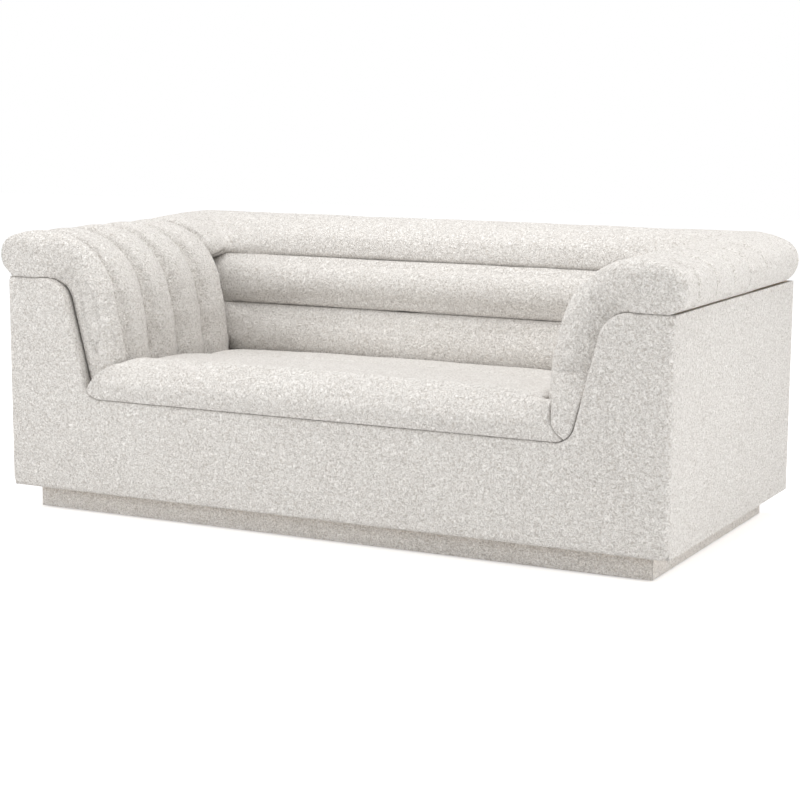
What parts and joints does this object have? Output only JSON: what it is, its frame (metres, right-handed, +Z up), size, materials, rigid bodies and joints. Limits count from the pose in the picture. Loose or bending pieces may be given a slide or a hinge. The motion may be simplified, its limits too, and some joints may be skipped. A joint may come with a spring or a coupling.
{
  "type": "tuxedo sofa",
  "caption": "Small tuxedo sofa: box body on a set-back plinth, arms and back of one height with padded channels rolling over the top, fixed crowned seat.",
  "frame": {"origin": "on the floor, under the middle of the sofa's footprint with its noses", "axes": "+X to the right seen from the front, -Y to the front, +Z up"},
  "size_m": [1.91, 0.968, 0.75],
  "materials": {
    "boucle": "looped cream boucle over soft padding",
    "timber": "sawn pale timber",
    "plywood": "sanded plywood",
    "foam": "open-cell upholstery foam",
    "felt": "needled felt",
    "webbing": "woven elastic webbing",
    "dust_cloth": "thin black non-woven cloth",
    "glide_plastic": "moulded black plastic"
  },
  "bodies": {
    "root": {"back_channel_lower": "boucle", "back_channel_upper": "boucle", "back_cover": "boucle", "back_rib_left": "plywood", "back_rib_middle": "plywood", "back_rib_right": "plywood", "back_shell": "plywood", "back_top_roll": "boucle", "base_back_rail": "timber", "base_cross_rail_left": "timber", "base_cross_rail_right": "timber", "base_front_rail": "timber", "base_left_rail": "timber", "base_right_rail": "timber", "dust_cloths": "dust_cloth", "front_panel_cover": "boucle", "glides": "glide_plastic", "left_arm_channel_1": "boucle", "left_arm_channel_2": "boucle", "left_arm_channel_3": "boucle", "left_arm_channel_4": "boucle", "left_arm_channel_5": "boucle", "left_arm_front_board": "plywood", "left_arm_middle_board": "plywood", "left_arm_rear_board": "plywood", "left_arm_shell": "plywood", "left_side_cover": "boucle", "left_sill_rail": "timber", "plinth_back_board": "timber", "plinth_corner_blocks": "timber", "plinth_cover_back": "boucle", "plinth_cover_front": "boucle", "plinth_cover_left": "boucle", "plinth_cover_right": "boucle", "plinth_cross_rail_left": "timber", "plinth_cross_rail_right": "timber", "plinth_front_board": "timber", "plinth_left_board": "timber", "plinth_right_board": "timber", "right_arm_channel_1": "boucle", "right_arm_channel_2": "boucle", "right_arm_channel_3": "boucle", "right_arm_channel_4": "boucle", "right_arm_channel_5": "boucle", "right_arm_front_board": "plywood", "right_arm_middle_board": "plywood", "right_arm_rear_board": "plywood", "right_arm_shell": "plywood", "right_side_cover": "boucle", "right_sill_rail": "timber", "seat_back_rail": "timber", "seat_felt": "felt", "seat_foam": "foam", "seat_front_board": "plywood", "seat_front_rail": "timber", "seat_pad": "boucle", "seat_webbing_cross": "webbing", "seat_webbing_long": "webbing"}
  },
  "joints": []
}
